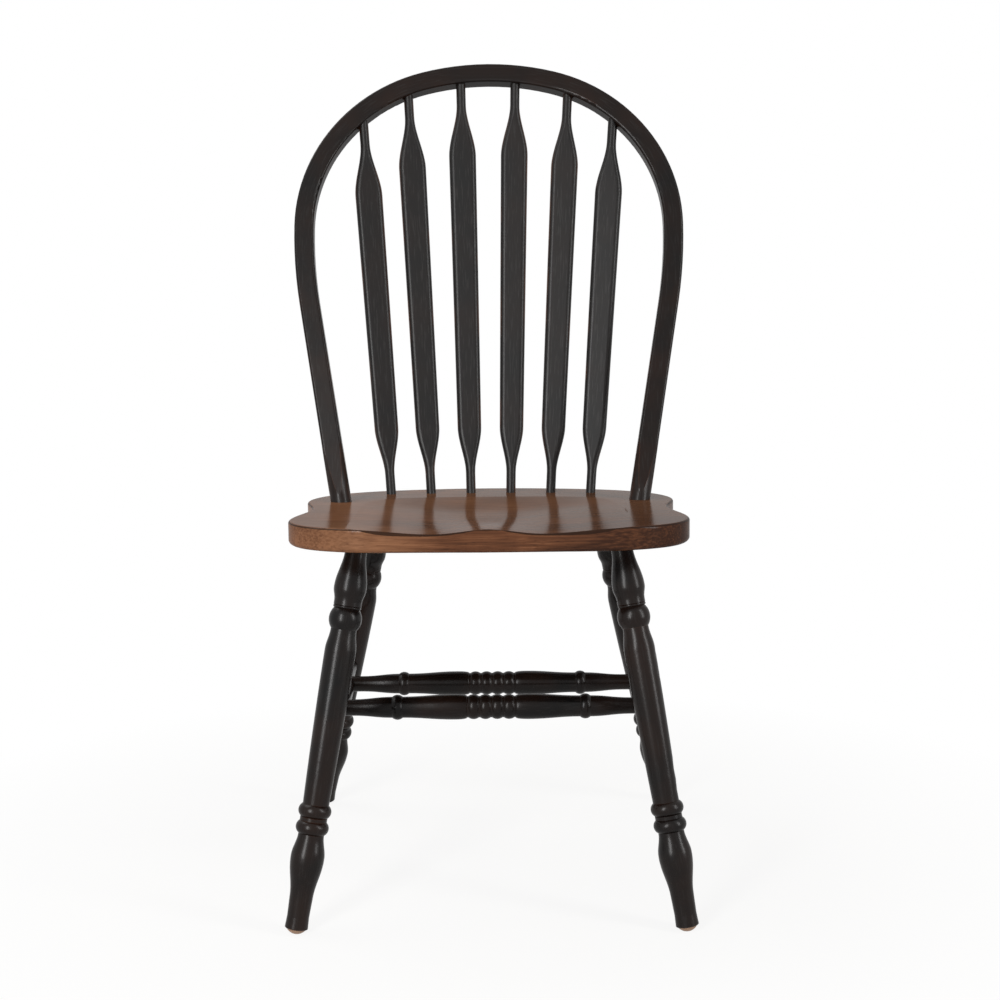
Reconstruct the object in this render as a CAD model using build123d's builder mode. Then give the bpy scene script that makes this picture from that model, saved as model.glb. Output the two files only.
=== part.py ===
"""Bow-back side chair with arrow spindles, a saddled plank seat and turned legs.

The frame is +Z up with the floor at Z = 0. The sitter faces -Y and the origin is at the middle of the feet.
"""

import os
from math import asin, atan2, cos, degrees, exp, hypot, radians, sin, sqrt

from build123d import *

os.makedirs("parts", exist_ok=True)

# Fits, millimetres
glue_gap = 0.1  # radial room round every tenon
socket_end_gap = 0.3  # room past the end of every tenon
bore_lead = 10.0  # bores start this far outside, so slanted mouths cut clean
ease_reach = 0.4  # how long turned curves stay level at each end

# Seat plank
seat_height = 444.5
seat_thickness = 25.8
seat_depth = 421.0
seat_front_y = -234.7
front_edge_radius = 1400.0
front_edge_half = 150.0  # half the length of the front arc
back_edge_radius = 412.0
back_edge_half = 150.0
front_corner_inset = 18.0  # corner, in from the widest of the front lobe
front_corner_setback = 43.0  # setbacks run from the middle of the front edge
lobe_half_width = 225.0
lobe_setback = 98.0
cove_half_width = 212.0
cove_setback = 202.0
ear_half_width = 227.0
ear_setback = 282.0
back_corner_inset = 26.0
back_corner_setback = 355.0
seat_top_round = 3.0
seat_bottom_round = 5.0

# Saddle hollowed into the seat
saddle_depth = 10.0
saddle_half_width = 175.0
saddle_deepest_setback = 215.0
saddle_back_setback = 330.0
saddle_front_rise = 0.6  # how much shallower the hollow is at the front edge
pommel_half_width = 42.0
pommel_height = 8.5
saddle_lip = 0.5  # the hollow meets the flat top at a soft edge
saddle_margin = 30.0  # the hollowing surface runs this far past the seat
saddle_steps = 26  # spans of the hollowing surface each way
front_ease = 2.2  # bevel along the front edge of the scoops
front_ease_depth = 4.0  # the bevel is full where the scoop is this deep
front_ease_steps = 12

# Bow, drawn flat in its leaning plane
bow_lean = 18.0  # degrees back from upright
bow_setback = 274.9  # where the bow's middle line crosses the seat top
bow_foot_inset = 42.0  # in from the widest of the seat's ears
bow_width = 25.0
bow_thickness = 20.0
bow_edge_round = 3.5
bow_half_spread = 237.2
bow_widest_rise = 360.5  # from the seat top, along the lean
bow_shoulder_radius = 206.4
bow_crown_radius = 326.8
bow_side_radius = 615.6
bow_foot_diameter = 25.5
bow_round_length = 5.0  # the foot stays round this far above the seat
bow_facet_length = 78.0  # the flats run out into the round foot by here
bow_facet_spare = 0.2  # keeps the run-out's tip a full round
bow_tenon = 17.0

# Arrow spindles
spindle_count = 6
spindle_neck = 12.2
spindle_neck_thickness = 12.0
spindle_low_width = 30.8
spindle_high_width = 35.2
spindle_blade_thickness = 13.0
spindle_setback = 365.5
spindle_arc_radius = 1000.0
spindle_seat_pitch = 51.7
spindle_bow_pitch = 74.3  # along the bow's middle line
spindle_low_neck = 26.0
spindle_low_flare = 60.0
spindle_high_neck = 26.0
spindle_high_flare = 68.0
spindle_flare_steps = 6
spindle_seat_tenon = 10.0
spindle_bow_tenon = 12.0

# Legs
front_leg_half_top = 146.2
front_leg_setback = 73.8
front_foot_half = 212.7
rear_leg_half_top = 144.1
rear_leg_setback = 345.7
rear_foot_half = 234.8
foot_half_depth = 230.0
leg_tenon = 13.0
leg_neck_radius = 12.1
leg_neck_length = 8.0
front_ball_drop = 83.2  # from the seat's underside along the leg
rear_ball_drop = 90.2
vase_above_ball = 33.7
vase_radius = 18.1
waist_above_ball = 19.5
waist_radius = 15.5
collar_radius = 15.6
collar_length = 3.2
ball_radius = 18.3
ball_half_length = 11.6
ball_root_radius = 14.3
shaft_peak_below_ball = 36.0
shaft_peak_radius = 17.3
shaft_end_radius = 14.5
upper_bead_rise = 128.8  # rises run from the leg's end along the leg
lower_bead_rise = 110.5
bead_radius = 18.2
bead_half_length = 7.2
bead_root_radius = 14.2
bead_ridge_radius = 15.0
foot_vase_rise = 77.5
foot_vase_radius = 18.5
ankle_rise = 32.0
ankle_radius = 12.7
foot_neck_rise = 13.0
foot_neck_radius = 12.1
foot_radius = 12.7
foot_chamfer = 0.8

# Side stretchers
stretcher_height = 210.5
side_tenon_short = 4.0  # stops this far from the leg's axis
side_end_length = 38.0  # from the leg's axis
side_end_radius = 9.4
side_middle_radius = 14.6

# Cross stretchers
cross_spacing = 121.0
cross_middle_offset = 4.5  # behind the middle of the side stretchers
cross_tenon_short = 3.0
cross_end_radius = 9.6
cross_taper_length = 46.0
cross_ring_offset = 111.2
cross_ring_half = 6.2
cross_ring_radius = 14.8
cross_ring_root = 12.4
cross_swell_offset = 44.0
cross_swell_radius = 15.0
cross_bead_pitch = 14.0
cross_bead_count = 4
cross_bead_radius = 14.7
cross_bead_root = 12.7
cross_groove = 1.6

# Floor glides and hidden fixings
glide_dome_radius = 13.0
glide_proud = 6.0
glide_flat = 0.4
glide_nail_radius = 1.2
glide_nail_up = 14.0
glide_nail_down = 3.5
nail_gap = 0.05
screw_head_radius = 4.5
screw_head_height = 3.0
screw_shank_radius = 2.2
screw_length = 26.0
screw_point = 4.0
screw_recess = 4.5
screw_recess_gap = 0.5

# Places worked out from the sizes
seat_bottom = seat_height - seat_thickness
seat_back_y = seat_front_y + seat_depth
glide_centre_height = glide_dome_radius - glide_flat


def smooth(share):
    return share * share * (3 - 2 * share)


def arc_drop(across, radius):
    # how far an arc has fallen away at this distance from its middle
    return radius - sqrt(radius**2 - across**2)


def line_plane(start, end):
    # local X runs along the turned piece, local Y is the radius
    along = (end - start).normalized()
    side = Vector(0, 0, 1).cross(along).normalized()
    return Plane(origin=start, x_dir=along, z_dir=along.cross(side))


def cut_socket(mouth, direction, radius, depth):
    # bores into the piece being built, from a little outside the mouth
    with BuildSketch(Plane(origin=mouth - direction * bore_lead, z_dir=direction)) as bore:
        Circle(radius)
    extrude(bore.sketch, amount=bore_lead + depth, mode=Mode.SUBTRACT)


def ease(start, end):
    # turned curve that leaves and arrives level with the axis
    reach = (end[0] - start[0]) * ease_reach
    Bezier(start, (start[0] + reach, start[1]), (end[0] - reach, end[1]), end)


def save(piece, name):
    piece.part.label = name
    export_step(piece.part, f"parts/{name}.step")


# Leg lines: where each leg leaves the seat and the middle of its glide
sides = {"left": -1, "right": 1}
leg_lines = {}
for side_name, side in sides.items():
    leg_lines[f"front_leg_{side_name}"] = (
        Vector(side * front_leg_half_top, seat_front_y + front_leg_setback, seat_bottom),
        Vector(side * front_foot_half, -foot_half_depth, glide_centre_height),
        front_ball_drop,
    )
    leg_lines[f"rear_leg_{side_name}"] = (
        Vector(side * rear_leg_half_top, seat_front_y + rear_leg_setback, seat_bottom),
        Vector(side * rear_foot_half, foot_half_depth, glide_centre_height),
        rear_ball_drop,
    )


def leg_point(name, height):
    top, foot, _ = leg_lines[name]
    return top + (foot - top) * ((seat_bottom - height) / (seat_bottom - glide_centre_height))


# Bow line in the leaning plane: crown arc, two shoulders, two long sides and straight ends
bow_y = seat_front_y + bow_setback
bow_plane = Plane(
    origin=(0, bow_y, seat_height),
    x_dir=(1, 0, 0),
    z_dir=(0, -cos(radians(bow_lean)), sin(radians(bow_lean))),
)
bow_foot_half = ear_half_width - bow_foot_inset
shoulder_x = bow_half_spread - bow_shoulder_radius
crown_drop = sqrt((bow_crown_radius - bow_shoulder_radius) ** 2 - shoulder_x**2)
crown_turn = degrees(atan2(shoulder_x, crown_drop))
side_reach = bow_side_radius + bow_foot_half - bow_half_spread
side_turn = asin(bow_side_radius / hypot(bow_widest_rise, side_reach))
bow_flare = degrees(side_turn - atan2(side_reach, bow_widest_rise))
bow_run_out = bow_facet_length * cos(radians(bow_flare))

with BuildLine(bow_plane) as bow_line:
    CenterArc((0, bow_widest_rise - crown_drop), bow_crown_radius, 90 - crown_turn, 2 * crown_turn)
    CenterArc((shoulder_x, bow_widest_rise), bow_shoulder_radius, 0, 90 - crown_turn)
    CenterArc((-shoulder_x, bow_widest_rise), bow_shoulder_radius, 90 + crown_turn, 90 - crown_turn)
    side_x = bow_half_spread - bow_side_radius
    right_side = CenterArc((side_x, bow_widest_rise), bow_side_radius, -bow_flare, bow_flare)
    left_side = CenterArc((-side_x, bow_widest_rise), bow_side_radius, 180, bow_flare)
    run_out_x = bow_foot_half + bow_run_out * sin(radians(bow_flare)) / cos(radians(bow_flare))
    Line((run_out_x, bow_run_out), right_side @ 0)
    Line(left_side @ 1, (-run_out_x, bow_run_out))
bow_wire = bow_line.wire()
bow_feet = {}
bow_run_outs = {}
bow_foot_up = {}
for side_name, side in sides.items():
    bow_feet[side_name] = bow_plane.from_local_coords(Vector(side * bow_foot_half, 0, 0))
    bow_run_outs[side_name] = bow_plane.from_local_coords(Vector(side * run_out_x, bow_run_out, 0))
    bow_foot_up[side_name] = (bow_run_outs[side_name] - bow_feet[side_name]).normalized()

# Spindle lines: a foot on the seat's arc and a mouth on the underside of the bow
spindle_lines = []
for number in range(spindle_count):
    step = number - (spindle_count - 1) / 2
    turn = step * spindle_seat_pitch / spindle_arc_radius
    foot = Vector(
        spindle_arc_radius * sin(turn),
        seat_front_y + spindle_setback - spindle_arc_radius * (1 - cos(turn)),
        seat_height,
    )
    from_end = bow_wire.length / 2 + step * spindle_bow_pitch
    on_bow = bow_wire.position_at(from_end, position_mode=PositionMode.LENGTH)
    bow_run = bow_wire.tangent_at(from_end, position_mode=PositionMode.LENGTH)
    inward = bow_run.cross(bow_plane.z_dir).normalized()
    if inward.Z > 0:
        inward = inward * -1
    mouth = on_bow + inward * (bow_width / 2)
    if mouth.X * foot.X < 0:
        mouth = Vector(-mouth.X, mouth.Y, mouth.Z)
    spindle_lines.append((foot, mouth, turn))


def saddle_drop(x, y):
    # depth of the hollow, with the pommel's ridge left standing at the front
    setback = y - seat_front_y
    across = max(0.0, 1 - (x / saddle_half_width) ** 2) ** 2
    if setback > saddle_deepest_setback:
        back_share = (setback - saddle_deepest_setback) / (saddle_back_setback - saddle_deepest_setback)
        return saddle_depth * across * max(0.0, 1 - back_share**2) ** 2
    front_share = 1 - setback / saddle_deepest_setback
    ridge = pommel_height * exp(-((x / pommel_half_width) ** 2)) * smooth(min(1.0, front_share))
    return (saddle_depth - saddle_front_rise * front_share**2) * across - ridge


def front_bevel(x):
    # three corners of the wedge that eases the scoop's front edge
    y = seat_front_y + arc_drop(x, front_edge_radius)
    depth = max(0.0, saddle_drop(x, y) - saddle_lip)
    z = seat_height - depth
    bevel = front_ease * smooth(min(1.0, depth / front_ease_depth))
    over = front_ease
    return (y - over, z - bevel - over), (y + bevel + over, z + over), (y - over, z + over)


def saddle_surface():
    half = max(lobe_half_width, ear_half_width) + saddle_margin
    low_y = seat_front_y - saddle_margin
    span_y = seat_depth + 2 * saddle_margin
    rows = []
    for row in range(saddle_steps + 1):
        y = low_y + span_y * row / saddle_steps
        columns = [half * (2 * column / saddle_steps - 1) for column in range(saddle_steps + 1)]
        rows.append([(x, y, seat_height + saddle_lip - saddle_drop(x, y)) for x in columns])
    return Face.make_surface_from_array_of_points(rows)


# Screws come up through the seat into the bow's feet; this is the shoulder of the head, below the seat top
screw_seat = seat_thickness / bow_foot_up["right"].Z - screw_recess

# Seat plank: rounded blank, then the sockets, then the saddle
with BuildPart() as seat:
    with BuildSketch(Plane.XY.offset(seat_bottom)):
        with BuildLine():
            right_rim = [
                (0, seat_front_y),
                (front_edge_half / 2, seat_front_y + arc_drop(front_edge_half / 2, front_edge_radius)),
                (front_edge_half, seat_front_y + arc_drop(front_edge_half, front_edge_radius)),
                (lobe_half_width - front_corner_inset, seat_front_y + front_corner_setback),
                (lobe_half_width, seat_front_y + lobe_setback),
                (cove_half_width, seat_front_y + cove_setback),
                (ear_half_width, seat_front_y + ear_setback),
                (ear_half_width - back_corner_inset, seat_front_y + back_corner_setback),
                (back_edge_half, seat_back_y - arc_drop(back_edge_half, back_edge_radius)),
                (back_edge_half / 2, seat_back_y - arc_drop(back_edge_half / 2, back_edge_radius)),
                (0, seat_back_y),
            ]
            Spline(right_rim, tangents=((1, 0), (-1, 0)))
            Spline([(-x, y) for x, y in right_rim], tangents=((-1, 0), (1, 0)))
        make_face()
    extrude(amount=seat_thickness)
    fillet(seat.faces().sort_by(Axis.Z)[-1].edges(), seat_top_round)
    fillet(seat.faces().sort_by(Axis.Z)[0].edges(), seat_bottom_round)
    for top, foot, _ in leg_lines.values():
        cut_socket(top, (top - foot).normalized(), leg_neck_radius + glue_gap, leg_tenon + socket_end_gap)
    for foot, mouth, _ in spindle_lines:
        down = (foot - mouth).normalized()
        cut_socket(foot, down, spindle_neck / 2 + glue_gap, spindle_seat_tenon + socket_end_gap)
    for name, up in bow_foot_up.items():
        cut_socket(bow_feet[name], up * -1, bow_foot_diameter / 2 + glue_gap, bow_tenon + socket_end_gap)
        shank_mouth = bow_feet[name] - up * screw_seat
        cut_socket(shank_mouth, up, screw_shank_radius + glue_gap, screw_seat - bow_tenon)
        recess_mouth = bow_feet[name] - up * (screw_seat + screw_recess)
        cut_socket(recess_mouth, up, screw_head_radius + screw_recess_gap, screw_recess)
    extrude(saddle_surface(), amount=2 * saddle_depth, dir=(0, 0, 1), mode=Mode.SUBTRACT)
    for step in range(front_ease_steps + 1):
        x = front_edge_half * (2 * step / front_ease_steps - 1)
        with BuildSketch(Plane.YZ.offset(x)):
            with BuildLine():
                Polyline(*front_bevel(x), close=True)
            make_face()
    loft(mode=Mode.SUBTRACT)
save(seat, "seat")

# Bow: each foot is turned round below and runs out of the bow's flats
foot_radius_low = bow_foot_diameter / 2
foot_square = bow_foot_diameter + bow_facet_spare
corner_reach = hypot(bow_width / 2 - bow_edge_round, bow_thickness / 2 - bow_edge_round) + bow_edge_round
foot_solids = []
for name, up in bow_foot_up.items():
    across = up.cross(bow_plane.z_dir)
    with BuildPart() as bow_foot:
        with BuildSketch(Plane(origin=bow_feet[name] + up * bow_round_length, x_dir=across, z_dir=up)):
            RectangleRounded(foot_square, foot_square, bow_edge_round)
        with BuildSketch(Plane(origin=bow_run_outs[name], x_dir=across, z_dir=up)):
            RectangleRounded(bow_width, bow_thickness, bow_edge_round)
        loft(ruled=True)
        with BuildSketch(line_plane(bow_feet[name], bow_run_outs[name])):
            with BuildLine():
                Polyline(
                    (bow_round_length, 0),
                    (bow_round_length, foot_radius_low),
                    (bow_facet_length, corner_reach + bow_facet_spare),
                    (bow_facet_length, 0),
                    close=True,
                )
            make_face()
        revolve(axis=Axis(bow_feet[name], up), mode=Mode.INTERSECT)
        with BuildSketch(Plane(origin=bow_feet[name] - up * bow_tenon, z_dir=up)):
            Circle(foot_radius_low)
        extrude(amount=bow_tenon + bow_round_length)
    foot_solids.append(bow_foot.part)

with BuildPart() as bow:
    start_run = bow_wire % 0
    with BuildSketch(Plane(origin=bow_wire @ 0, x_dir=start_run.cross(bow_plane.z_dir), z_dir=start_run)):
        RectangleRounded(bow_width, bow_thickness, bow_edge_round)
    sweep(path=bow_wire)
    add(foot_solids)
    for foot, mouth, _ in spindle_lines:
        up = (mouth - foot).normalized()
        cut_socket(mouth, up, spindle_neck / 2 + glue_gap, spindle_bow_tenon + socket_end_gap)
    for name, up in bow_foot_up.items():
        tenon_end = bow_feet[name] - up * bow_tenon
        pilot_depth = screw_length - screw_seat + bow_tenon + socket_end_gap
        cut_socket(tenon_end, up, screw_shank_radius + nail_gap, pilot_depth)
save(bow, "bow")

# Arrow spindles: round necks that flare into a flat blade
for number, (foot, mouth, turn) in enumerate(spindle_lines, start=1):
    axis = (mouth - foot).normalized()
    length = (mouth - foot).length
    across = Vector(cos(turn), -sin(turn), 0)
    across = (across - axis * across.dot(axis)).normalized()
    low_end = spindle_low_neck + spindle_low_flare
    high_end = length - spindle_high_neck
    high_start = high_end - spindle_high_flare
    fattening = spindle_blade_thickness - spindle_neck_thickness
    with BuildPart() as spindle:
        for step in range(spindle_flare_steps + 1):
            share = step / spindle_flare_steps
            at = foot + axis * (spindle_low_neck + share * spindle_low_flare)
            width = spindle_neck + (spindle_low_width - spindle_neck) * smooth(share)
            with BuildSketch(Plane(origin=at, x_dir=across, z_dir=axis)):
                SlotOverall(width, spindle_neck_thickness + fattening * smooth(share))
        loft()
        for step in range(spindle_flare_steps + 1):
            share = step / spindle_flare_steps
            at = foot + axis * (high_start + share * spindle_high_flare)
            width = spindle_high_width - (spindle_high_width - spindle_neck) * smooth(share)
            with BuildSketch(Plane(origin=at, x_dir=across, z_dir=axis)):
                SlotOverall(width, spindle_blade_thickness - fattening * smooth(share))
        loft()
        with BuildSketch(Plane(origin=foot + axis * low_end, x_dir=across, z_dir=axis)):
            SlotOverall(spindle_low_width, spindle_blade_thickness)
        with BuildSketch(Plane(origin=foot + axis * high_start, x_dir=across, z_dir=axis)):
            SlotOverall(spindle_high_width, spindle_blade_thickness)
        loft(ruled=True)
        with BuildSketch(Plane(origin=foot - axis * spindle_seat_tenon, x_dir=across, z_dir=axis)):
            SlotOverall(spindle_neck, spindle_neck_thickness)
        extrude(amount=spindle_seat_tenon + spindle_low_neck)
        with BuildSketch(Plane(origin=foot + axis * high_end, x_dir=across, z_dir=axis)):
            SlotOverall(spindle_neck, spindle_neck_thickness)
        extrude(amount=spindle_high_neck + spindle_bow_tenon)
    save(spindle, f"spindle_{number}")


def side_ends(side_name):
    front = leg_point(f"front_leg_{side_name}", stretcher_height)
    rear = leg_point(f"rear_leg_{side_name}", stretcher_height)
    return front, rear


def side_point(side_name, offset):
    front, rear = side_ends(side_name)
    return (front + rear) * 0.5 + (rear - front).normalized() * offset


# Legs: tenon, vase, ball, long swelled shaft, two beads and a vase foot
for name, (top, foot, ball_drop) in leg_lines.items():
    along = (foot - top).normalized()
    leg_end = (foot - top).length + glide_dome_radius - glide_proud
    vase = (ball_drop - vase_above_ball, vase_radius)
    waist = (ball_drop - waist_above_ball, waist_radius)
    ball_top = ball_drop - ball_half_length
    ball_low = ball_drop + ball_half_length
    collar_top = ball_top - collar_length
    shaft_peak = (ball_drop + shaft_peak_below_ball, shaft_peak_radius)
    upper_bead = leg_end - upper_bead_rise
    lower_bead = leg_end - lower_bead_rise
    shaft_end = (upper_bead - bead_half_length, shaft_end_radius)
    shaft_level = shaft_peak[0] + (shaft_end[0] - shaft_peak[0]) * ease_reach
    foot_vase = (leg_end - foot_vase_rise, foot_vase_radius)
    ankle = (leg_end - ankle_rise, ankle_radius)
    with BuildPart() as leg:
        with BuildSketch(line_plane(top, foot)):
            with BuildLine():
                Polyline((-leg_tenon, 0), (-leg_tenon, leg_neck_radius), (leg_neck_length, leg_neck_radius))
                ease((leg_neck_length, leg_neck_radius), vase)
                ease(vase, waist)
                Polyline(waist, (collar_top, waist_radius), (collar_top, ball_root_radius))
                ThreePointArc(
                    (collar_top, ball_root_radius),
                    (ball_top - collar_length / 2, collar_radius),
                    (ball_top, ball_root_radius),
                )
                ThreePointArc(
                    (ball_top, ball_root_radius),
                    (ball_drop, ball_radius),
                    (ball_low, ball_root_radius),
                )
                ease((ball_low, ball_root_radius), shaft_peak)
                Bezier(shaft_peak, (shaft_level, shaft_peak_radius), shaft_end)
                Line(shaft_end, (shaft_end[0], bead_root_radius))
                for bead in (upper_bead, lower_bead):
                    ThreePointArc(
                        (bead - bead_half_length, bead_root_radius),
                        (bead, bead_radius),
                        (bead + bead_half_length, bead_root_radius),
                    )
                Polyline(
                    (upper_bead + bead_half_length, bead_root_radius),
                    (upper_bead + bead_half_length, bead_ridge_radius),
                    (lower_bead - bead_half_length, bead_ridge_radius),
                    (lower_bead - bead_half_length, bead_root_radius),
                )
                ease((lower_bead + bead_half_length, bead_root_radius), foot_vase)
                ease(foot_vase, ankle)
                Polyline(
                    ankle,
                    (leg_end - foot_neck_rise, foot_neck_radius),
                    (leg_end - foot_chamfer, foot_radius),
                    (leg_end, foot_radius - foot_chamfer),
                    (leg_end, 0),
                    (-leg_tenon, 0),
                )
            make_face()
        revolve(axis=Axis(top, along))
        front, rear = side_ends(name.split("_")[-1])
        if name.startswith("front"):
            here, there = front, rear
        else:
            here, there = rear, front
        inward = (there - here).normalized()
        socket_mouth = here + inward * shaft_peak_radius
        socket_depth = shaft_peak_radius - side_tenon_short + socket_end_gap
        cut_socket(socket_mouth, inward * -1, side_end_radius + glue_gap, socket_depth)
        nail_depth = glide_nail_up + socket_end_gap
        cut_socket(top + along * leg_end, along * -1, glide_nail_radius + nail_gap, nail_depth)
    save(leg, name)

# Side stretchers, swelled in the middle and bored for the cross stretchers
cross_offsets = {
    "front": cross_middle_offset - cross_spacing / 2,
    "rear": cross_middle_offset + cross_spacing / 2,
}
for side_name in sides:
    front, rear = side_ends(side_name)
    span = (rear - front).length
    other_name = "right" if side_name == "left" else "left"
    with BuildPart() as stretcher:
        with BuildSketch(line_plane(front, rear)):
            with BuildLine():
                swell = (span / 2, side_middle_radius)
                Polyline(
                    (side_tenon_short, 0),
                    (side_tenon_short, side_end_radius),
                    (side_end_length, side_end_radius),
                )
                ease((side_end_length, side_end_radius), swell)
                ease(swell, (span - side_end_length, side_end_radius))
                Polyline(
                    (span - side_end_length, side_end_radius),
                    (span - side_tenon_short, side_end_radius),
                    (span - side_tenon_short, 0),
                    (side_tenon_short, 0),
                )
            make_face()
        revolve(axis=Axis(front, rear - front))
        for offset in cross_offsets.values():
            here = side_point(side_name, offset)
            inward = (side_point(other_name, offset) - here).normalized()
            socket_mouth = here + inward * side_middle_radius
            socket_depth = side_middle_radius - cross_tenon_short + socket_end_gap
            cut_socket(socket_mouth, inward * -1, cross_end_radius + glue_gap, socket_depth)
    save(stretcher, f"side_stretcher_{side_name}")

# Cross stretchers: four beads between two swells, a ring each side and tapered ends
for place, offset in cross_offsets.items():
    left = side_point("left", offset)
    right = side_point("right", offset)
    half = (right - left).length / 2 - cross_tenon_short
    ring_outer = cross_ring_offset + cross_ring_half
    ring_inner = cross_ring_offset - cross_ring_half
    beads_end = cross_bead_count * cross_bead_pitch / 2
    with BuildPart() as stretcher:
        with BuildSketch(line_plane((left + right) * 0.5, right)):
            with BuildLine():
                for way in (-1, 1):
                    taper_end = (way * (ring_outer + cross_taper_length), cross_end_radius)
                    Polyline((way * half, 0), (way * half, cross_end_radius), taper_end)
                    ease(taper_end, (way * ring_outer, cross_ring_root))
                    ThreePointArc(
                        (way * ring_outer, cross_ring_root),
                        (way * cross_ring_offset, cross_ring_radius),
                        (way * ring_inner, cross_ring_root),
                    )
                    swell = (way * cross_swell_offset, cross_swell_radius)
                    shoulder_x = way * (beads_end + cross_groove / 2)
                    ease((way * ring_inner, cross_ring_root), swell)
                    Bezier(swell, (shoulder_x, cross_swell_radius), (shoulder_x, cross_bead_root))
                for number in range(cross_bead_count):
                    bead = (number + 0.5) * cross_bead_pitch - beads_end
                    bead_half = (cross_bead_pitch - cross_groove) / 2
                    ThreePointArc(
                        (bead - bead_half, cross_bead_root),
                        (bead, cross_bead_radius),
                        (bead + bead_half, cross_bead_root),
                    )
                for number in range(cross_bead_count + 1):
                    groove = number * cross_bead_pitch - beads_end
                    groove_start = (groove - cross_groove / 2, cross_bead_root)
                    Line(groove_start, (groove + cross_groove / 2, cross_bead_root))
                Line((-half, 0), (half, 0))
            make_face()
        revolve(axis=Axis(left, right - left))
    save(stretcher, f"cross_stretcher_{place}")

# Domed glides under the feet, worn flat on the floor
glide_base = glide_dome_radius - glide_proud
for name, (top, foot, _) in leg_lines.items():
    along = (foot - top).normalized()
    with BuildPart() as glide:
        with BuildSketch(line_plane(top, foot)):
            with BuildLine():
                centre = (foot - top).length
                base_radius = sqrt(glide_dome_radius**2 - glide_base**2)
                Polyline(
                    (centre + glide_dome_radius, 0),
                    (centre + glide_base, 0),
                    (centre + glide_base, base_radius),
                )
                dome_turn = degrees(atan2(base_radius, glide_base))
                CenterArc((centre, 0), glide_dome_radius, 0, dome_turn)
            make_face()
        revolve(axis=Axis(top, along))
        split(bisect_by=Plane.XY, keep=Keep.TOP)
        nail_mouth = foot + along * glide_base
        cut_socket(nail_mouth, along, glide_nail_radius + nail_gap, glide_nail_down + nail_gap)
    save(glide, name.replace("leg", "glide"))

# Nails that hold the glides
with BuildPart() as glide_nails:
    for top, foot, _ in leg_lines.values():
        along = (foot - top).normalized()
        with BuildSketch(Plane(origin=foot + along * (glide_base - glide_nail_up), z_dir=along)):
            Circle(glide_nail_radius)
        extrude(amount=glide_nail_up + glide_nail_down)
save(glide_nails, "glide_nails")

# Screws up through the seat into the bow's feet
with BuildPart() as bow_screws:
    for name, up in bow_foot_up.items():
        head = bow_feet[name] - up * (screw_seat + screw_head_height)
        tip = screw_head_height + screw_length
        with BuildSketch(line_plane(head, bow_feet[name])):
            with BuildLine():
                Polyline(
                    (0, 0),
                    (0, screw_head_radius),
                    (screw_head_height, screw_head_radius),
                    (screw_head_height, screw_shank_radius),
                    (tip - screw_point, screw_shank_radius),
                    (tip, 0),
                    close=True,
                )
            make_face()
        revolve(axis=Axis(head, up))
save(bow_screws, "bow_screws")
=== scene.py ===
# Bow-back dining chair: black sprayed frame, brown stained seat, photographed on white
import math

import bpy
from mathutils import Matrix, Vector


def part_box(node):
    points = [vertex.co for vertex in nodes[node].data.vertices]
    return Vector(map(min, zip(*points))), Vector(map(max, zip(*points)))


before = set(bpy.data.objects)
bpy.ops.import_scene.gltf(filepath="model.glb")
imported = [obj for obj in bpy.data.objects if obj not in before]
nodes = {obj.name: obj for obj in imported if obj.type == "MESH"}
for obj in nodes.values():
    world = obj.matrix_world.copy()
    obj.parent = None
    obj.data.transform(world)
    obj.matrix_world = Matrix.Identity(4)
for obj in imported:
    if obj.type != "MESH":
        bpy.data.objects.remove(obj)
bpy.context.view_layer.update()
mm = 0.001
white = (1, 1, 1, 1)
print("frame loaded:", len(nodes), "nodes")

# a Mix node's sockets, by number because their names repeat
firstNumber, secondNumber = 2, 3
firstColour, secondColour, mixedColour = 6, 7, 2


def linear(hexColour):
    # sRGB hex to the linear colour that Blender's sockets take
    channels = [int(hexColour[i:i + 2], 16) / 255 for i in (1, 3, 5)]
    return tuple(c / 12.92 if c <= 0.04045 else ((c + 0.055) / 1.055) ** 2.4 for c in channels) + (1.0,)


def addNode(tree, kind, inputs=(), **settings):
    # inputs is a list in the order of the sockets, or a dict by their names or numbers;
    # a Map Range node takes a value, the two ends it comes from and the two ends it goes to
    node = tree.nodes.new(kind)
    for name, value in settings.items():
        setattr(node, name, value)
    pairs = inputs.items() if isinstance(inputs, dict) else enumerate(inputs)
    for key, value in pairs:
        if isinstance(value, bpy.types.Node):
            tree.links.new(value.outputs[0], node.inputs[key])
        elif isinstance(value, bpy.types.NodeSocket):
            tree.links.new(value, node.inputs[key])
        else:
            node.inputs[key].default_value = value
    return node


def newMaterial(name):
    material = bpy.data.materials.new(name)
    material.use_nodes = True
    return material, material.node_tree, material.node_tree.nodes["Principled BSDF"]


def dress(name, material):
    mesh = nodes[name].data
    mesh.materials.clear()
    mesh.materials.append(material)


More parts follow.
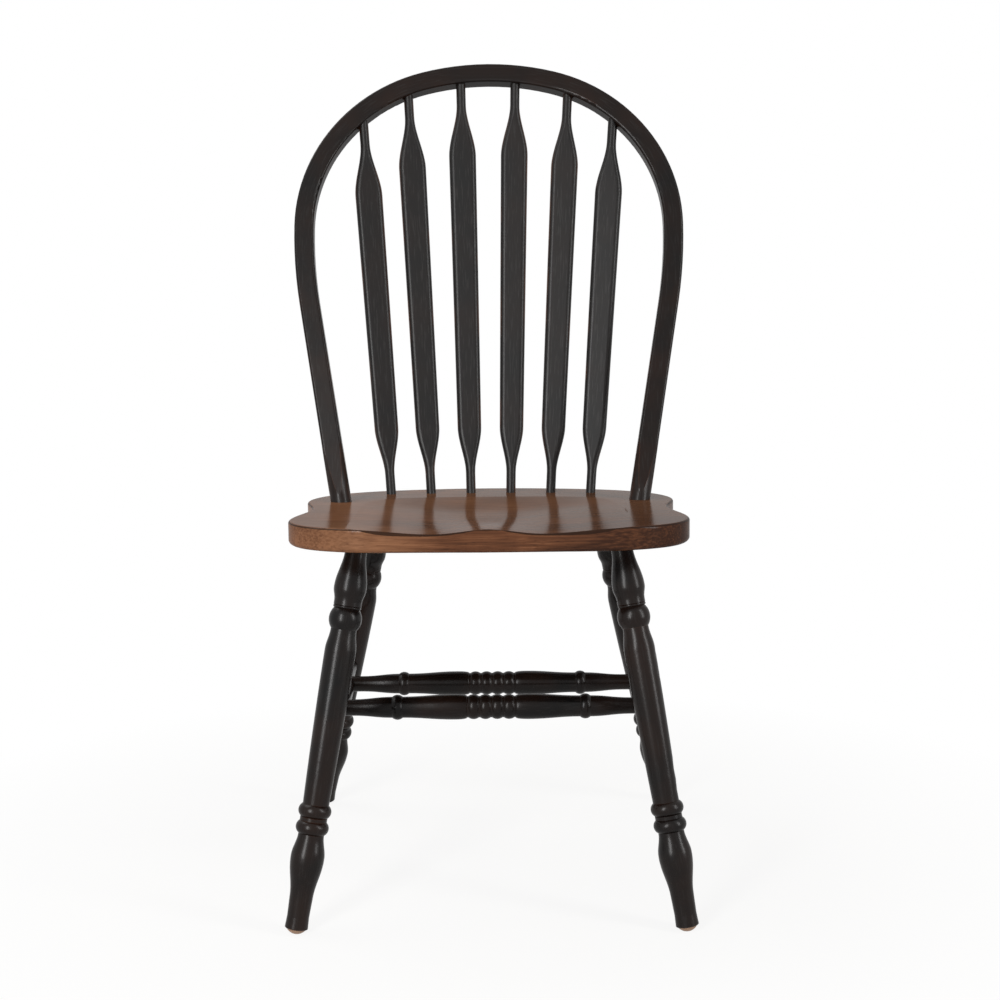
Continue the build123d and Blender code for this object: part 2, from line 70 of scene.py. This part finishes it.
# Black nitrocellulose lacquer sprayed over turned hardwood, under a thin clear coat that carries its satin
# shine: near-black with a warm cast, the wood's pores still open, rubbed to the red-brown stain along edges
blackLacquer = {
    "deep": "#080707",
    "warm": "#20130d",
    "poreDust": "#2a2827",
    "rubbed": "#7d4b30",
    "poreWidth": 1.7 * mm,  # real pores are finer and would not show
    "poreLength": 24 * mm,
    "poreCut": (0.55, 0.66),  # noise from closed to open wood
    "poreRoughness": 0.08,  # added in an open pore
    "poreDepth": 0.08 * mm,
    "poreBump": 0.5,
    "cloudSize": 60 * mm,
    "cloudSpan": (0.3, 0.7),  # noise from the deepest black to the warmest
    "roughness": (0.25, 0.32),
    "ior": 1.5,
    "shine": 0.01,  # of the black alone, because the clear coat has the rest
    "edgeWidth": 1.6 * mm,
    "edgeTurn": (0.985, 0.87),  # softened normal along the true one, from flat to sharp
    "sideFacing": (0.65, 0.92),  # normal along left and right, from a face to a side
    "wearCut": (0.49, 0.62),  # clouds from sound to worn
    "leastWear": 0.02,
    "clearCoat": {"spindle": 0.48, "bow": 0.34, "leg": 0.36, "stretcher": 0.3},
    "clearRoughness": {"spindle": 0.37, "bow": 0.3, "leg": 0.27, "stretcher": 0.27},
    "pores": {"spindle": 0.5, "bow": 0.35, "leg": 0.2, "stretcher": 0.2},  # heavy coats fill the pores
    "warmth": {"spindle": 0.3, "bow": 0.8, "leg": 0.8, "stretcher": 0.6},
    "wear": {"spindle": 0.5, "bow": 0.45, "leg": 0.12, "stretcher": 0.06},
    "sideWear": {"spindle": 0.6, "bow": 0.25, "leg": 0.0, "stretcher": 0.0},  # turned pieces have no sides
}


def lacquerOver(name, material, tree, shader, grainSpace):
    # grainSpace is in metres, with the grain along its Z
    spec = blackLacquer
    kind = next(kind for kind in spec["pores"] if kind in name)
    squeeze = (1 / spec["poreWidth"], 1 / spec["poreWidth"], 1 / spec["poreLength"])
    poreSpace = addNode(tree, "ShaderNodeMapping", {"Vector": grainSpace, "Scale": squeeze})
    pores = addNode(tree, "ShaderNodeTexNoise", {"Vector": poreSpace, "Scale": 1.0, "Detail": 2.0})
    openPores = addNode(tree, "ShaderNodeMapRange", [pores, *spec["poreCut"], 0.0, spec["pores"][kind]])
    clouds = addNode(tree, "ShaderNodeTexNoise",
                     {"Vector": grainSpace, "Scale": 1 / spec["cloudSize"], "Detail": 3.0})
    warmed = addNode(tree, "ShaderNodeMapRange", [clouds, *spec["cloudSpan"], 0.0, spec["warmth"][kind]])
    tone = addNode(tree, "ShaderNodeMix",
                   {0: warmed, firstColour: linear(spec["deep"]), secondColour: linear(spec["warm"])},
                   data_type="RGBA").outputs[mixedColour]
    dusty = addNode(tree, "ShaderNodeMix",
                    {0: openPores, firstColour: tone, secondColour: linear(spec["poreDust"])},
                    data_type="RGBA").outputs[mixedColour]

    # sharp edges, where a softened normal leaves the true one, and the narrow sides of blades and bow
    softened = addNode(tree, "ShaderNodeBevel", {"Radius": spec["edgeWidth"]}, samples=4)
    facing = addNode(tree, "ShaderNodeNewGeometry").outputs["Normal"]
    flatness = addNode(tree, "ShaderNodeVectorMath", [softened, facing], operation="DOT_PRODUCT")
    edge = addNode(tree, "ShaderNodeMapRange", [flatness.outputs["Value"], *spec["edgeTurn"], 0.0, 1.0])
    acrossChair = addNode(tree, "ShaderNodeSeparateXYZ", [facing])
    sideways = addNode(tree, "ShaderNodeMath", [acrossChair], operation="ABSOLUTE")
    side = addNode(tree, "ShaderNodeMapRange",
                   [sideways, *spec["sideFacing"], 0.0, spec["sideWear"][kind]])
    exposed = addNode(tree, "ShaderNodeMath", [edge, side], operation="MAXIMUM")
    patches = addNode(tree, "ShaderNodeMapRange",
                      [clouds, *spec["wearCut"], spec["leastWear"], spec["wear"][kind]])
    rub = addNode(tree, "ShaderNodeMath", [exposed, patches], operation="MULTIPLY")
    worn = addNode(tree, "ShaderNodeMix",
                   {0: rub, firstColour: dusty, secondColour: linear(spec["rubbed"])},
                   data_type="RGBA").outputs[mixedColour]

    satin = addNode(tree, "ShaderNodeMapRange", [clouds, *spec["cloudSpan"], *spec["roughness"]])
    rough = addNode(tree, "ShaderNodeMath", [openPores, spec["poreRoughness"], satin],
                    operation="MULTIPLY_ADD")
    bump = addNode(tree, "ShaderNodeBump",
                   {"Height": openPores, "Strength": spec["poreBump"], "Distance": spec["poreDepth"]},
                   invert=True)
    tree.links.new(worn, shader.inputs["Base Color"])
    tree.links.new(rough.outputs[0], shader.inputs["Roughness"])
    tree.links.new(bump.outputs[0], shader.inputs["Normal"])
    tree.links.new(bump.outputs[0], shader.inputs["Coat Normal"])
    shader.inputs["IOR"].default_value = spec["ior"]
    shader.inputs["Specular IOR Level"].default_value = spec["shine"]
    shader.inputs["Coat Weight"].default_value = spec["clearCoat"][kind]
    shader.inputs["Coat Roughness"].default_value = spec["clearRoughness"][kind]
    return material


def straightLacquer(name, grain):
    material, tree, shader = newMaterial("blackLacquer." + name)
    turn = Vector((0, 0, 1)).rotation_difference(grain).inverted().to_euler()
    place = addNode(tree, "ShaderNodeTexCoord").outputs["Object"]
    grainSpace = addNode(tree, "ShaderNodeMapping", {"Vector": place, "Rotation": turn})
    return lacquerOver(name, material, tree, shader, grainSpace)


def endToEnd(name):
    # long axis of a straight piece, from the middles of its two end slices
    sliceShare = 0.06
    points = [v.co for v in nodes[name].data.vertices]
    low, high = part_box(name)
    axis = max(range(3), key=lambda i: high[i] - low[i])
    reach = (high[axis] - low[axis]) * sliceShare
    first = [p for p in points if p[axis] < low[axis] + reach]
    last = [p for p in points if p[axis] > high[axis] - reach]
    return (sum(last, Vector()) / len(last) - sum(first, Vector()) / len(first)).normalized()


straightPieces = [n for n in nodes if "leg" in n or "stretcher" in n or "spindle" in n]
for pieceName in straightPieces:
    dress(pieceName, straightLacquer(pieceName, endToEnd(pieceName)))

# The bow is steam-bent, so its grain runs round the bend: up the sides and over two shoulder arcs
bentBow = {
    "lean": math.radians(18),
    "seatPoint": (0, 40.2 * mm, 444.5 * mm),  # where the bow's plane meets the seat top
    "shoulderOffset": 31 * mm,
    "shoulderRise": 360 * mm,
    "shoulderRadius": 206 * mm,
}


def bentLacquer(name):
    spec = bentBow
    material, tree, shader = newMaterial("blackLacquer." + name)
    upward = (0, math.sin(spec["lean"]), math.cos(spec["lean"]))
    outward = (0, -math.cos(spec["lean"]), math.sin(spec["lean"]))
    place = addNode(tree, "ShaderNodeTexCoord").outputs["Object"]
    local = addNode(tree, "ShaderNodeVectorMath", [place, spec["seatPoint"]], operation="SUBTRACT")
    rise = addNode(tree, "ShaderNodeVectorMath", [local, upward], operation="DOT_PRODUCT")
    depth = addNode(tree, "ShaderNodeVectorMath", [local, outward], operation="DOT_PRODUCT")

    # from the middle of the shoulder's arc, how far out to the side, above and below
    acrossChair = addNode(tree, "ShaderNodeSeparateXYZ", [local])
    sideways = addNode(tree, "ShaderNodeMath", [acrossChair], operation="ABSOLUTE")
    beyond = addNode(tree, "ShaderNodeMath", [sideways, spec["shoulderOffset"]], operation="SUBTRACT")
    reach = addNode(tree, "ShaderNodeMath", [beyond, 0.0], operation="MAXIMUM")
    lift = addNode(tree, "ShaderNodeMath", [rise.outputs["Value"], spec["shoulderRise"]],
                   operation="SUBTRACT")
    above = addNode(tree, "ShaderNodeMath", [lift, 0.0], operation="MAXIMUM")
    below = addNode(tree, "ShaderNodeMath", [lift, 0.0], operation="MINIMUM")

    # across the bow is out along the arc's spoke, along it is round the arc and then down the side
    spoke = addNode(tree, "ShaderNodeCombineXYZ", [reach, above])
    across = addNode(tree, "ShaderNodeVectorMath", [spoke], operation="LENGTH")
    bend = addNode(tree, "ShaderNodeMath", [reach, above], operation="ARCTAN2")
    arc = addNode(tree, "ShaderNodeMath", [bend, spec["shoulderRadius"]], operation="MULTIPLY")
    along = addNode(tree, "ShaderNodeMath", [arc, below], operation="SUBTRACT")
    grainSpace = addNode(tree, "ShaderNodeCombineXYZ",
                         [across.outputs["Value"], depth.outputs["Value"], along])
    return lacquerOver(name, material, tree, shader, grainSpace)


dress("bow", bentLacquer("bow"))
print("black frame dressed:", len(straightPieces) + 1, "pieces")

# Brown dye stain and clear semi-gloss lacquer over a seat glued up from rubberwood boards that run side to
# side: the boards take the stain unevenly, and it is thin and tan at the front of the left lobe
seatWood = {
    "light": "#8f6144",
    "middle": "#613d29",
    "dark": "#382218",
    "thin": "#8c654a",
    # paler top colour: partly wear, partly a painted warm sheen
    "satOnAndSheen": "#714f38",
    # painted shade for the dark reflection on the rounded top edge
    "paintedEdgeShade": "#26170f",
    "nickBrown": "#20140d",
    "toneSpots": (0.31, 0.48, 0.69),  # figure at which the wood is dark, middle and light
    "boardDepth": 62 * mm,
    "boardShift": (0.5, 0.3, 0.4),  # metres by which a board's figure is moved at most
    "boardTone": (-0.06, 0.06),
    "streakWidth": 2.2 * mm,
    "streakLength": 70 * mm,
    "streakShare": 0.45,  # of the figure, and clouds are the rest
    "poreWidth": 0.9 * mm,  # drawn coarser than life, to show
    "poreLength": 9 * mm,
    "poreCut": (0.6, 0.75),
    "poreTone": -0.08,
    "poreDepth": 0.1 * mm,
    "poreBump": 0.15,
    "cloudSize": 110 * mm,
    "cloudSpan": (0.3, 0.7),
    "endReach": 190 * mm,
    "endTone": (0.06, -0.09),  # at the left end and at the right
    "thinPlace": (-150 * mm, -215 * mm, 431 * mm),
    "thinReach": 100 * mm,
    "nickPlace": (159 * mm, -75 * mm, 0),
    "nickReach": (1.5 * mm, 27 * mm),  # to the side, and forward or back
    "nickEdge": (1.0, 0.4),  # shares of that reach, from sound to bruised
    "nickShare": 0.7,
    "nickRoughness": 0.6,
    "topFacing": (0.9, 0.97),  # normal along up, from the edge to the top
    "satOnSheenDepth": (-200 * mm, -30 * mm),
    "satOnSheenShare": (0.2, 0.5),  # at the front of the top and over the rest of it
    "lineTop": (0.93, 0.8),  # normal along up, where the painted dark line begins under the top
    "lineFoot": (0.25, 0.55),  # and where it ends above the upright edge
    "lineShare": 0.9,
    "roughness": (0.17, 0.24),
    "ior": 1.5,
    "shine": 0.001,  # of the stained wood alone, because the clear coat has the rest
    "clearCoat": 0.16,
    "clearRoughness": 0.16,
}


def seatStain():
    spec = seatWood
    material, tree, shader = newMaterial("stainedRubberwood")
    place = addNode(tree, "ShaderNodeTexCoord").outputs["Object"]
    placeParts = addNode(tree, "ShaderNodeSeparateXYZ", [place]).outputs
    acrossSeat = placeParts["X"]
    backOnSeat = placeParts["Y"]
    boards = addNode(tree, "ShaderNodeMath", [backOnSeat, spec["boardDepth"]], operation="DIVIDE")
    board = addNode(tree, "ShaderNodeMath", [boards], operation="FLOOR")
    luck = addNode(tree, "ShaderNodeTexWhiteNoise", {"W": board}, noise_dimensions="1D")
    shift = addNode(tree, "ShaderNodeVectorMath", [luck.outputs["Color"], spec["boardShift"]],
                    operation="MULTIPLY")
    moved = addNode(tree, "ShaderNodeVectorMath", [place, shift], operation="ADD")

    # long streaks and short pores along the boards, clouds of stain over them
    streakScale = (1 / spec["streakLength"], 1 / spec["streakWidth"], 1 / spec["streakWidth"])
    streakSpace = addNode(tree, "ShaderNodeMapping", {"Vector": moved, "Scale": streakScale})
    streaks = addNode(tree, "ShaderNodeTexNoise",
                      {"Vector": streakSpace, "Scale": 1.0, "Detail": 3.0, "Distortion": 0.4})
    poreScale = (1 / spec["poreLength"], 1 / spec["poreWidth"], 1 / spec["poreWidth"])
    poreSpace = addNode(tree, "ShaderNodeMapping", {"Vector": moved, "Scale": poreScale})
    pores = addNode(tree, "ShaderNodeTexNoise", {"Vector": poreSpace, "Scale": 1.0, "Detail": 1.0})
    clouds = addNode(tree, "ShaderNodeTexNoise",
                     {"Vector": place, "Scale": 1 / spec["cloudSize"], "Detail": 3.0, "Distortion": 0.3})
    figure = addNode(tree, "ShaderNodeMix",
                     {0: spec["streakShare"], firstNumber: clouds, secondNumber: streaks})
    boardTone = addNode(tree, "ShaderNodeMapRange", [luck, 0.0, 1.0, *spec["boardTone"]])
    figure = addNode(tree, "ShaderNodeMath", [figure, boardTone], operation="ADD")
    endTone = addNode(tree, "ShaderNodeMapRange",
                      [acrossSeat, -spec["endReach"], spec["endReach"], *spec["endTone"]])
    figure = addNode(tree, "ShaderNodeMath", [figure, endTone], operation="ADD")
    pits = addNode(tree, "ShaderNodeMapRange", [pores, *spec["poreCut"], 0.0, spec["poreTone"]])
    figure = addNode(tree, "ShaderNodeMath", [figure, pits], operation="ADD")
    stain = addNode(tree, "ShaderNodeValToRGB", [figure])
    darkSpot, middleSpot, lightSpot = spec["toneSpots"]
    tones = stain.color_ramp.elements
    tones[0].position = darkSpot
    tones[0].color = linear(spec["dark"])
    tones[1].position = lightSpot
    tones[1].color = linear(spec["light"])
    tones.new(middleSpot).color = linear(spec["middle"])

    # stain rubbed thin at the front left, and a small nick in the right of the top
    away = addNode(tree, "ShaderNodeVectorMath", [place, spec["thinPlace"]], operation="DISTANCE")
    near = addNode(tree, "ShaderNodeMapRange", [away.outputs["Value"], spec["thinReach"], 0.0, 0.0, 1.0])
    thinShare = addNode(tree, "ShaderNodeMath", [near, streaks], operation="MULTIPLY")
    thinned = addNode(tree, "ShaderNodeMix",
                      {0: thinShare, firstColour: stain, secondColour: linear(spec["thin"])},
                      data_type="RGBA").outputs[mixedColour]
    fromNick = addNode(tree, "ShaderNodeVectorMath", [place, spec["nickPlace"]], operation="SUBTRACT")
    nickWide, nickLong = spec["nickReach"]
    nickScale = (1 / nickWide, 1 / nickLong, 0)
    nickSpace = addNode(tree, "ShaderNodeVectorMath", [fromNick, nickScale], operation="MULTIPLY")
    nickAway = addNode(tree, "ShaderNodeVectorMath", [nickSpace], operation="LENGTH")
    nick = addNode(tree, "ShaderNodeMapRange",
                   [nickAway.outputs["Value"], *spec["nickEdge"], 0.0, spec["nickShare"]])
    nicked = addNode(tree, "ShaderNodeMix",
                     {0: nick, firstColour: thinned, secondColour: linear(spec["nickBrown"])},
                     data_type="RGBA").outputs[mixedColour]

    # the top is paler, least at the front: partly worn where people sit, partly a painted warm sheen for
    # the light the top reflects
    facing = addNode(tree, "ShaderNodeNewGeometry").outputs["Normal"]
    upward = addNode(tree, "ShaderNodeSeparateXYZ", [facing]).outputs["Z"]
    level = addNode(tree, "ShaderNodeMapRange", [upward, *spec["topFacing"], 0.0, 1.0])
    wearAndSheen = addNode(tree, "ShaderNodeMapRange", [backOnSeat, *spec["satOnSheenDepth"], *spec["satOnSheenShare"]])
    wearAndSheen = addNode(tree, "ShaderNodeMath", [wearAndSheen, level], operation="MULTIPLY")
    paler = addNode(tree, "ShaderNodeMix",
                    {0: wearAndSheen, firstColour: nicked, secondColour: linear(spec["satOnAndSheen"])},
                    data_type="RGBA").outputs[mixedColour]

    # painted shade: a dark line on the rounded edge round the top, standing for the dark reflection there
    underTop = addNode(tree, "ShaderNodeMapRange", [upward, *spec["lineTop"], 0.0, 1.0])
    aboveEdge = addNode(tree, "ShaderNodeMapRange", [upward, *spec["lineFoot"], 0.0, spec["lineShare"]])
    line = addNode(tree, "ShaderNodeMath", [underTop, aboveEdge], operation="MULTIPLY")
    lined = addNode(tree, "ShaderNodeMix",
                    {0: line, firstColour: paler, secondColour: linear(spec["paintedEdgeShade"])},
                    data_type="RGBA").outputs[mixedColour]

    satin = addNode(tree, "ShaderNodeMapRange", [clouds, *spec["cloudSpan"], *spec["roughness"]])
    rough = addNode(tree, "ShaderNodeMath", [nick, spec["nickRoughness"], satin], operation="MULTIPLY_ADD")
    bump = addNode(tree, "ShaderNodeBump",
                   {"Height": pits, "Strength": spec["poreBump"], "Distance": spec["poreDepth"]})
    tree.links.new(lined, shader.inputs["Base Color"])
    tree.links.new(rough.outputs[0], shader.inputs["Roughness"])
    tree.links.new(bump.outputs[0], shader.inputs["Normal"])
    shader.inputs["IOR"].default_value = spec["ior"]
    shader.inputs["Specular IOR Level"].default_value = spec["shine"]
    shader.inputs["Coat Weight"].default_value = spec["clearCoat"]
    shader.inputs["Coat Roughness"].default_value = spec["clearRoughness"]
    return material


dress("seat", seatStain())
print("seat dressed")

# Injection-moulded nylon glides: tan, matt, scuffed where they meet the floor
nylonGlide = {
    "clean": "#9e7a5d",
    "scuffed": "#795f4c",
    "scuffSize": 2.5 * mm,
    "scuffSpan": (0.3, 0.7),
    "scuffDepth": 0.1 * mm,
    "scuffBump": 0.2,
    "roughness": (0.42, 0.6),
    "ior": 1.53,
}


def glideNylon():
    spec = nylonGlide
    material, tree, shader = newMaterial("mouldedNylon")
    place = addNode(tree, "ShaderNodeTexCoord").outputs["Object"]
    scuff = addNode(tree, "ShaderNodeTexNoise",
                    {"Vector": place, "Scale": 1 / spec["scuffSize"], "Detail": 3.0})
    tone = addNode(tree, "ShaderNodeMix",
                   {0: scuff, firstColour: linear(spec["clean"]), secondColour: linear(spec["scuffed"])},
                   data_type="RGBA").outputs[mixedColour]
    rough = addNode(tree, "ShaderNodeMapRange", [scuff, *spec["scuffSpan"], *spec["roughness"]])
    bump = addNode(tree, "ShaderNodeBump",
                   {"Height": scuff, "Strength": spec["scuffBump"], "Distance": spec["scuffDepth"]})
    tree.links.new(tone, shader.inputs["Base Color"])
    tree.links.new(rough.outputs[0], shader.inputs["Roughness"])
    tree.links.new(bump.outputs[0], shader.inputs["Normal"])
    shader.inputs["IOR"].default_value = spec["ior"]
    return material


nylon = glideNylon()
for pieceName in [n for n in nodes if "glide_" in n and n != "glide_nails"]:
    dress(pieceName, nylon)

# Zinc-plated mild steel fixings: grey with a faint crystalline mottle
zincSteel = {"light": "#b9babb", "dull": "#8e9092", "crystal": 1.5 * mm, "roughness": (0.3, 0.42)}


def fixingZinc():
    spec = zincSteel
    material, tree, shader = newMaterial("zincPlatedSteel")
    place = addNode(tree, "ShaderNodeTexCoord").outputs["Object"]
    crystals = addNode(tree, "ShaderNodeTexVoronoi", {"Vector": place, "Scale": 1 / spec["crystal"]})
    tone = addNode(tree, "ShaderNodeMix",
                   {0: crystals, firstColour: linear(spec["light"]), secondColour: linear(spec["dull"])},
                   data_type="RGBA").outputs[mixedColour]
    rough = addNode(tree, "ShaderNodeMapRange", [crystals, 0.0, 1.0, *spec["roughness"]])
    tree.links.new(tone, shader.inputs["Base Color"])
    tree.links.new(rough.outputs[0], shader.inputs["Roughness"])
    shader.inputs["Metallic"].default_value = 1.0
    return material


zinc = fixingZinc()
for pieceName in ("glide_nails", "bow_screws"):
    dress(pieceName, zinc)
print("glides and fixings dressed")

# Studio: pale paper under the chair and behind it, in metres
studio = {
    "floorPaper": "#eeebe6",
    "backdropPaper": "#efece7",
    "paperRoughness": 0.9,
    "floorFront": -0.5,
    "backdropY": 2.6,
    "frontWidth": 1.2,
    "backWidth": 3.4,
    "backdropHeight": 3.0,
    "shadowShare": 0.12,  # how much of the floor's own shading still shows near the feet
    "shadowReach": (0.9, 0.35),  # from the middle of the chair, where that begins and is full
    "ambient": 0.2,
}


def whitePaper(name, paper, shadowShare):
    # white to the camera, in reflections and through glass, and plain paper to all other light
    material, tree, shader = newMaterial(name)
    shader.inputs["Base Color"].default_value = linear(paper)
    shader.inputs["Roughness"].default_value = studio["paperRoughness"]
    path = addNode(tree, "ShaderNodeLightPath").outputs
    seen = addNode(tree, "ShaderNodeMath", [path["Is Camera Ray"], path["Is Glossy Ray"]],
                   operation="MAXIMUM")
    seen = addNode(tree, "ShaderNodeMath", [seen, path["Is Transmission Ray"]], operation="MAXIMUM")
    place = addNode(tree, "ShaderNodeTexCoord").outputs["Object"]
    away = addNode(tree, "ShaderNodeVectorMath", [place], operation="LENGTH")
    clear = addNode(tree, "ShaderNodeMapRange",
                    [away.outputs["Value"], *studio["shadowReach"], 1.0, 1 - shadowShare])
    share = addNode(tree, "ShaderNodeMath", [seen, clear], operation="MULTIPLY")
    glow = addNode(tree, "ShaderNodeEmission", {"Color": white, "Strength": 1.0})
    mixed = addNode(tree, "ShaderNodeMixShader", [share, shader, glow])
    tree.links.new(mixed.outputs[0], tree.nodes["Material Output"].inputs["Surface"])
    return material


def stageSheet(name, corners, material):
    mesh = bpy.data.meshes.new(name)
    mesh.from_pydata(corners, [], [tuple(range(len(corners)))])
    mesh.materials.append(material)
    sheet = bpy.data.objects.new(name, mesh)
    bpy.context.scene.collection.objects.link(sheet)


slim = studio["frontWidth"] / 2
half = studio["backWidth"] / 2
front = studio["floorFront"]
back = studio["backdropY"]
tall = studio["backdropHeight"]
floorCorners = [(-slim, front, 0), (slim, front, 0), (half, back, 0), (-half, back, 0)]
stageSheet("floor", floorCorners, whitePaper("paperFloor", studio["floorPaper"], studio["shadowShare"]))
backdropCorners = [(-half, back, 0), (half, back, 0), (half, back, tall), (-half, back, tall)]
stageSheet("backdrop", backdropCorners, whitePaper("paperBackdrop", studio["backdropPaper"], 0.0))

# beyond the paper the world is white to the same rays, and a dim fill to other light
world = bpy.data.worlds.new("whiteWorld")
bpy.context.scene.world = world
world.use_nodes = True
worldTree = world.node_tree
worldPath = addNode(worldTree, "ShaderNodeLightPath").outputs
worldSeen = addNode(worldTree, "ShaderNodeMath", [worldPath["Is Camera Ray"], worldPath["Is Glossy Ray"]],
                    operation="MAXIMUM")
worldSeen = addNode(worldTree, "ShaderNodeMath", [worldSeen, worldPath["Is Transmission Ray"]],
                    operation="MAXIMUM")
worldStrength = addNode(worldTree, "ShaderNodeMapRange", [worldSeen, 0.0, 1.0, studio["ambient"], 1.0])
background = worldTree.nodes["Background"]
background.inputs["Color"].default_value = white
worldTree.links.new(worldStrength.outputs[0], background.inputs["Strength"])

# A tall soft box left of the camera, a slim one at the right and one overhead, in metres
softBoxes = {
    "keyBox": {"place": (-1.08, -2.03, 1.16), "aim": (0, 0, 0.8), "size": (0.5, 1.7), "watts": 46},
    "slimBox": {"place": (1.92, -1.07, 1.35), "aim": (0, 0, 1.0), "size": (0.4, 2.0), "watts": 30},
    "topBox": {"place": (-1.4, 0.4, 2.6), "aim": (0, 0, 0.5), "size": (1.4, 1.4), "watts": 18},
}
for boxName, box in softBoxes.items():
    lamp = bpy.data.lights.new(boxName, "AREA")
    lamp.shape = "RECTANGLE"
    lamp.size, lamp.size_y = box["size"]
    lamp.energy = box["watts"]
    lampObject = bpy.data.objects.new(boxName, lamp)
    lampObject.location = box["place"]
    towards = Vector(box["aim"]) - Vector(box["place"])
    lampObject.rotation_euler = towards.to_track_quat("-Z", "Y").to_euler()
    lampObject.visible_camera = False
    bpy.context.scene.collection.objects.link(lampObject)

# Camera as fitted to the photograph: angles in degrees, lens and sensor in millimetres
shot = {
    "place": (18.8 * mm, -1810.6 * mm, 651.5 * mm),
    "yaw": -0.212,
    "pitch": 6.376,
    "roll": -0.491,
    "lens": 54.07,
    "sensor": 36.0,
}
camera = bpy.data.cameras.new("shotCamera")
camera.sensor_width = shot["sensor"]
camera.lens = shot["lens"]
cameraObject = bpy.data.objects.new("shotCamera", camera)
heading = Matrix.Rotation(math.radians(-shot["yaw"]), 4, "Z")
nod = Matrix.Rotation(math.radians(90 - shot["pitch"]), 4, "X")
tilt = Matrix.Rotation(math.radians(shot["roll"]), 4, "Z")
cameraObject.matrix_world = Matrix.Translation(shot["place"]) @ heading @ nod @ tilt
bpy.context.scene.collection.objects.link(cameraObject)
bpy.context.scene.camera = cameraObject
bpy.context.scene.view_settings.view_transform = "Standard"
print("studio ready")
